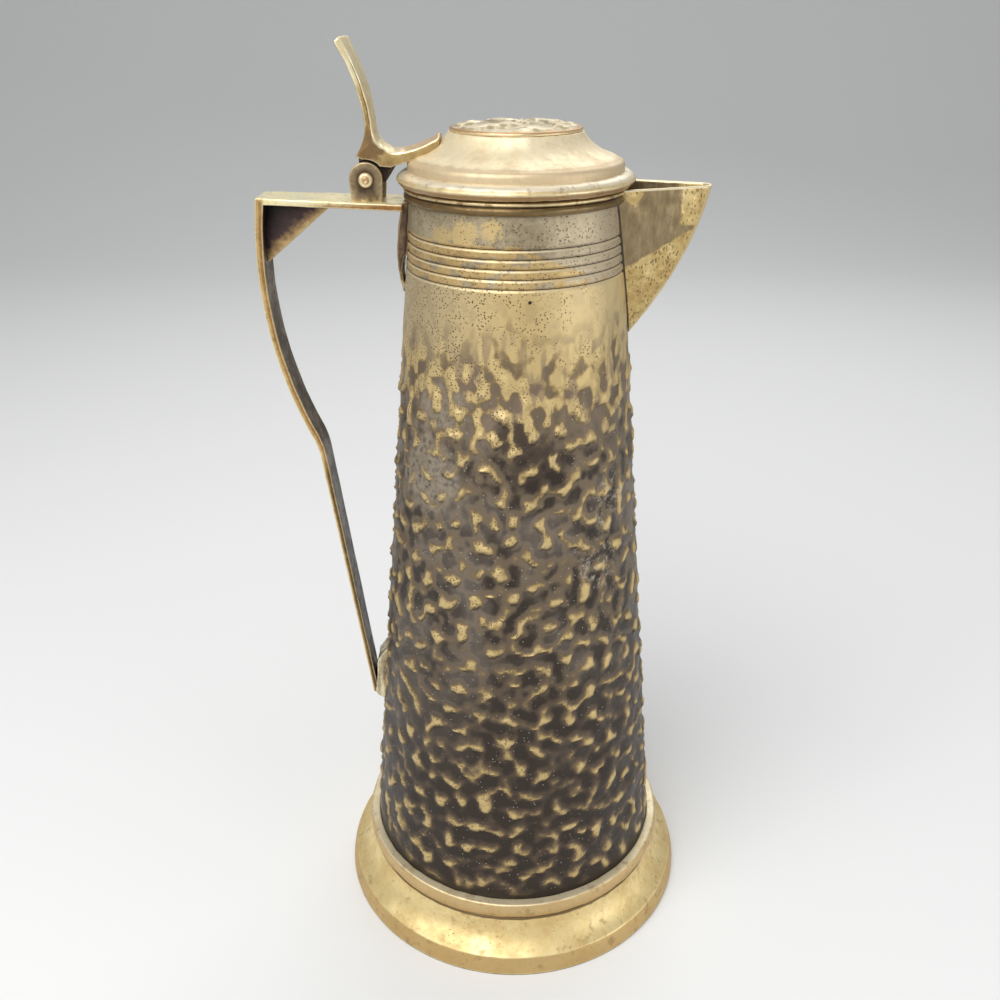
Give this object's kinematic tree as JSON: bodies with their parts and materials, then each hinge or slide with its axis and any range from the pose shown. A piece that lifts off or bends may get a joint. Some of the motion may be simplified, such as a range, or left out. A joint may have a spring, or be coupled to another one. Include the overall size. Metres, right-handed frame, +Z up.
{
  "type": "lidded jug",
  "caption": "Tall tapered metal jug with a V spout, a strap handle and a hinged lid with a thumb lever, for pouring drinks.",
  "frame": {"origin": "centre of the foot's underside, on the jug's axis", "axes": "+Z up along the jug's axis, +X towards the spout, -X towards the handle, Y along the lid's hinge pin"},
  "size_m": [0.1709, 0.154, 0.3593],
  "materials": {
    "body_brass": "beaten brass, tarnished in the hollows and rubbed bright on the high spots",
    "foot_brass": "spun brass with a satin wear and dark pits",
    "lid_brass": "pale spun brass with faint stains",
    "handle_brass": "forged brass strap, brown patina with rubbed edges",
    "hinge_brass": "cast brass, rubbed, with tarnish in the corners"
  },
  "bodies": {
    "jug": {"body_shell": "body_brass", "foot_ring": "foot_brass", "base_plate": "foot_brass", "mouth_ring": "lid_brass", "spout": "body_brass", "handle_strap": "handle_brass", "handle_gusset": "handle_brass", "handle_tongue": "handle_brass", "handle_wedge": "handle_brass", "hinge_lug_front": "hinge_brass", "hinge_lug_rear": "hinge_brass", "hinge_pin": "hinge_brass", "pin_collar_front": "hinge_brass", "pin_collar_rear": "hinge_brass"},
    "lid": {"lid_shell": "lid_brass", "lid_rim": "lid_brass", "lid_top_disc": "lid_brass", "lid_flange": "lid_brass", "thumb_lever": "lid_brass", "lid_knuckle": "hinge_brass"}
  },
  "joints": [
    {"name": "lid_hinge", "type": "hinge", "parent": "jug", "child": "lid", "pos_m": [-0.0525, 0, 0.3134], "axis": [0, -1, 0], "range_deg": [0, 80]}
  ]
}
